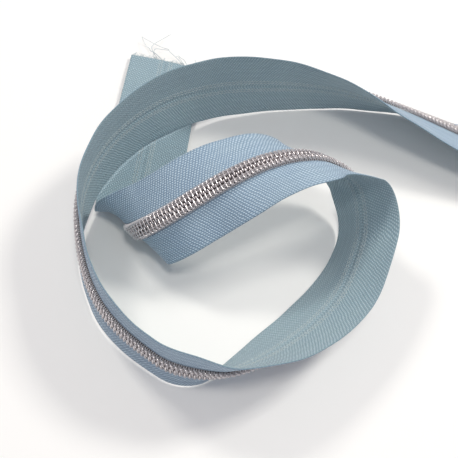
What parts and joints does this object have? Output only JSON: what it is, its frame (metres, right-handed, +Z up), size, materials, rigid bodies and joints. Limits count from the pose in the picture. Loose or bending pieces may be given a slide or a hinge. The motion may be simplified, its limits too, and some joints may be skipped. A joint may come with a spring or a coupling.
{
  "type": "zipper",
  "caption": "Closed coil zipper on two woven tapes, cut off at its lower end and lying in a loose loop, with a slider and hinged pull tab at its top end.",
  "frame": {"origin": "on the table, under the middle of the whole zipper's bounding box", "axes": "+X along the longest extent, towards the slider end; +Z up from the table; +Y away, towards the cut end"},
  "size_m": [0.2896, 0.158, 0.0395],
  "materials": {
    "tape": "woven polyester tape, matt with a fine sheen",
    "coil": "metallised silver monofilament",
    "filler_cord": "twisted polyester cord",
    "stitching": "fine sewing thread",
    "loose_thread": "loose polyester filaments",
    "slider_metal": "nickel-plated zinc, polished",
    "stop_metal": "satin",
    "spring_steel": "plain spring steel"
  },
  "bodies": {
    "chain": {"left_tape": "tape", "left_coil": "coil", "left_filler_cord": "filler_cord", "left_inner_stitching": "stitching", "left_outer_stitching": "stitching", "left_top_stop": "stop_metal", "right_tape": "tape", "right_coil": "coil", "right_filler_cord": "filler_cord", "right_inner_stitching": "stitching", "right_outer_stitching": "stitching", "right_top_stop": "stop_metal", "frayed_threads": "loose_thread"},
    "slider": {"slider_body": "slider_metal", "slider_crown": "slider_metal", "lock_spring": "spring_steel"},
    "pull": {"pull_tab": "slider_metal"}
  },
  "joints": [
    {"name": "slider_travel", "type": "slide", "parent": "chain", "child": "slider", "axis": [-0.9231, 0.3846, 0], "range_m": [0, 0.03], "deforming": ["left_tape", "left_coil", "left_filler_cord", "left_inner_stitching", "left_outer_stitching", "right_tape", "right_coil", "right_filler_cord", "right_inner_stitching", "right_outer_stitching"]},
    {"name": "pull_hinge", "type": "hinge", "parent": "slider", "child": "pull", "pos_m": [0.11065, -0.02563, 0.00671], "axis": [0.3846, 0.9231, 0], "range_deg": [0, 180]}
  ]
}
